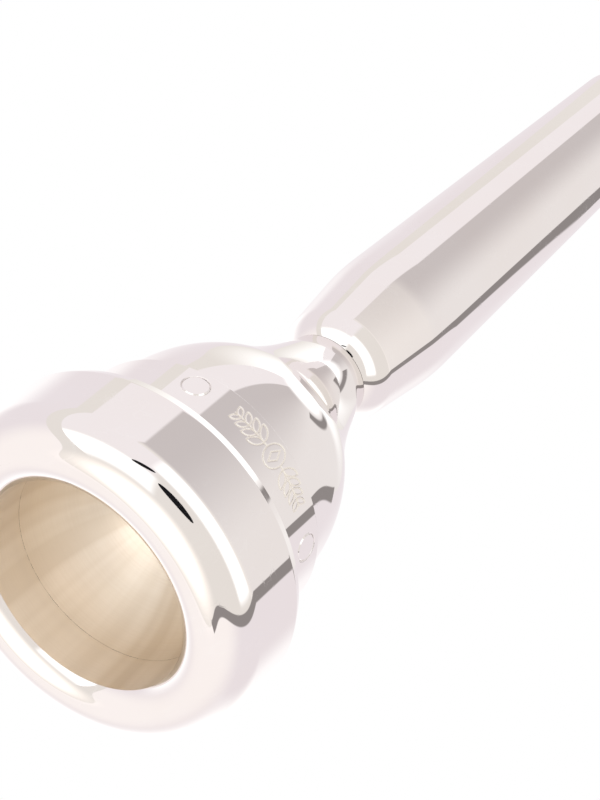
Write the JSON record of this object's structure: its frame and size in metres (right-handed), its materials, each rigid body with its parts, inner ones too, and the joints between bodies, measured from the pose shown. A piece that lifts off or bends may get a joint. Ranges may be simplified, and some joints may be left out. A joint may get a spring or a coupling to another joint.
{
  "type": "brass instrument mouthpiece",
  "caption": "Small cup mouthpiece with a screw-on rim, a domed cup with a pinned band ring, a narrow neck and a screw-on tapered shank with a rounded shoulder.",
  "frame": {"origin": "on the air path's axis, in the plane that touches the crown of the rim", "axes": "+Z along the air path from the rim to the end of the shank; -Y towards the engraved front of the band ring"},
  "size_m": [0.0274, 0.0274, 0.0865],
  "materials": {
    "silver_plate": "silver-plated brass, mirror polished outside and satin in the cup",
    "seal_rubber": "black moulded rubber"
  },
  "bodies": {
    "rim_body": {"rim": "silver_plate"},
    "rim_seal_body": {"rim_seal": "seal_rubber"},
    "cup_body": {"cup": "silver_plate", "band_ring": "silver_plate", "band_stud_1": "silver_plate", "band_stud_2": "silver_plate", "band_stud_3": "silver_plate", "band_stud_4": "silver_plate"},
    "shank_seal_body": {"shank_seal": "seal_rubber"},
    "shank_body": {"shank": "silver_plate"}
  },
  "joints": [
    {"name": "cup_turn", "type": "hinge", "parent": "rim_body", "child": "rim_seal_body", "pos_m": [0, 0, 0.0086], "axis": [0, 0, 1], "range_deg": [0, 2160]},
    {"name": "cup_travel", "type": "slide", "parent": "rim_seal_body", "child": "cup_body", "axis": [0, 0, 1], "range_m": [0, 0.0045]},
    {"name": "shank_travel", "type": "slide", "parent": "cup_body", "child": "shank_seal_body", "axis": [0, 0, 1], "range_m": [0, 0.0075]},
    {"name": "shank_turn", "type": "hinge", "parent": "shank_seal_body", "child": "shank_body", "pos_m": [0, 0, 0.0329], "axis": [0, 0, 1], "range_deg": [0, 3600]}
  ],
  "couplings": [
    {"joint": "cup_turn", "follows": "cup_travel", "rad_per_m": 8377.6},
    {"joint": "shank_turn", "follows": "shank_travel", "rad_per_m": 8377.6}
  ]
}
